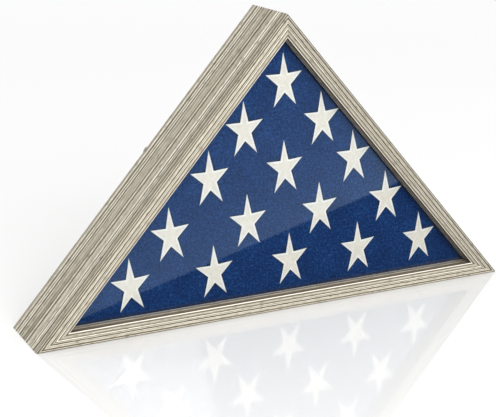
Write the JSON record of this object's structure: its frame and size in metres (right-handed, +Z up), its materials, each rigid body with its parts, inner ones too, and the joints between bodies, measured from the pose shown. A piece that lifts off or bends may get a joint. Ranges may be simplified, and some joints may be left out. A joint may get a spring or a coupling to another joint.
{
  "type": "folded flag display case",
  "caption": "Triangular wooden shadow-box case with a glazed front that shows a folded flag, and a removable back panel held by turn buttons",
  "frame": {"origin": "centre of the bounding box in plan, at the underside of the bottom rail, where the case stands", "axes": "+X along the base rail, -Y out of the glazed front, +Y out of the back panel, +Z up to the apex"},
  "size_m": [0.6596, 0.1008, 0.3768],
  "materials": {
    "weathered_oak": "weathered grey-beige oak, straight streaked grain, satin",
    "clear_glazing": "clear flat acrylic sheet, polished",
    "strip_board": "pale grey board, matte",
    "blue_cotton": "deep blue woven cotton, matte",
    "star_thread": "ivory embroidered thread, soft sheen",
    "hardboard": "brown pressed hardboard, smooth side out, matte",
    "liner_felt": "charcoal felt-faced board, matte",
    "zinc_steel": "bright zinc-plated steel",
    "grey_rubber": "grey moulded rubber, matte"
  },
  "bodies": {
    "case": {"bottom_rail": "weathered_oak", "right_rail": "weathered_oak", "left_rail": "weathered_oak", "glazing": "clear_glazing", "bottom_spacer_strip": "strip_board", "right_spacer_strip": "strip_board", "left_spacer_strip": "strip_board", "button_screw_bottom_1": "zinc_steel", "button_screw_bottom_2": "zinc_steel", "button_screw_right_1": "zinc_steel", "button_screw_right_2": "zinc_steel", "button_screw_left_1": "zinc_steel", "button_screw_left_2": "zinc_steel", "hanger_strap_right": "zinc_steel", "hanger_strap_left": "zinc_steel", "hanger_screw_right": "zinc_steel", "hanger_screw_left": "zinc_steel", "wall_bumper_left": "grey_rubber", "wall_bumper_right": "grey_rubber", "mitre_nail_left": "zinc_steel", "mitre_nail_right": "zinc_steel", "mitre_nail_apex": "zinc_steel"},
    "rear_panel": {"back_panel": "hardboard", "panel_liner": "liner_felt"},
    "flag": {"folded_flag": "blue_cotton", "star_row1_1": "star_thread", "star_row1_2": "star_thread", "star_row1_3": "star_thread", "star_row1_4": "star_thread", "star_row1_5": "star_thread", "star_row2_1": "star_thread", "star_row2_2": "star_thread", "star_row2_3": "star_thread", "star_row2_4": "star_thread", "star_row3_1": "star_thread", "star_row3_2": "star_thread", "star_row3_3": "star_thread", "star_row4_1": "star_thread", "star_row4_2": "star_thread", "star_row5_1": "star_thread"},
    "turn_button_bottom_1_body": {"turn_button_bottom_1": "zinc_steel"},
    "turn_button_bottom_2_body": {"turn_button_bottom_2": "zinc_steel"},
    "turn_button_right_1_body": {"turn_button_right_1": "zinc_steel"},
    "turn_button_right_2_body": {"turn_button_right_2": "zinc_steel"},
    "turn_button_left_1_body": {"turn_button_left_1": "zinc_steel"},
    "turn_button_left_2_body": {"turn_button_left_2": "zinc_steel"},
    "hanger_ring_right_body": {"hanger_ring_right": "zinc_steel"},
    "hanger_ring_left_body": {"hanger_ring_left": "zinc_steel"}
  },
  "joints": [
    {"name": "back_panel_slide", "type": "slide", "parent": "case", "child": "rear_panel", "axis": [0, 1, 0], "range_m": [0, 0.15]},
    {"name": "flag_slide", "type": "slide", "parent": "case", "child": "flag", "axis": [0, 1, 0], "range_m": [0, 0.09]},
    {"name": "turn_button_bottom_1_turn", "type": "hinge", "parent": "case", "child": "turn_button_bottom_1_body", "pos_m": [-0.12715, 0.04565, 0.0055], "axis": [0, -1, 0], "range_deg": [0, 90]},
    {"name": "turn_button_bottom_2_turn", "type": "hinge", "parent": "case", "child": "turn_button_bottom_2_body", "pos_m": [0.12715, 0.04565, 0.0055], "axis": [0, 1, 0], "range_deg": [0, 90]},
    {"name": "turn_button_right_1_turn", "type": "hinge", "parent": "case", "child": "turn_button_right_1_body", "pos_m": [0.22251, 0.04565, 0.11445], "axis": [0, -1, 0], "range_deg": [0, 90]},
    {"name": "turn_button_right_2_turn", "type": "hinge", "parent": "case", "child": "turn_button_right_2_body", "pos_m": [0.09536, 0.04565, 0.25971], "axis": [0, 1, 0], "range_deg": [0, 90]},
    {"name": "turn_button_left_1_turn", "type": "hinge", "parent": "case", "child": "turn_button_left_1_body", "pos_m": [-0.09536, 0.04565, 0.25971], "axis": [0, -1, 0], "range_deg": [0, 90]},
    {"name": "turn_button_left_2_turn", "type": "hinge", "parent": "case", "child": "turn_button_left_2_body", "pos_m": [-0.22251, 0.04565, 0.11445], "axis": [0, 1, 0], "range_deg": [0, 90]},
    {"name": "hanger_ring_right_swing", "type": "hinge", "parent": "case", "child": "hanger_ring_right_body", "pos_m": [0.14304, 0.047, 0.20523], "axis": [-0.7525, 0, -0.6586], "range_deg": [-165, 0]},
    {"name": "hanger_ring_left_swing", "type": "hinge", "parent": "case", "child": "hanger_ring_left_body", "pos_m": [-0.14304, 0.047, 0.20523], "axis": [-0.7525, 0, 0.6586], "range_deg": [-165, 0]}
  ],
  "couplings": [
    {"joint": "flag_slide", "follows": "back_panel_slide", "ratio": 0.6}
  ]
}
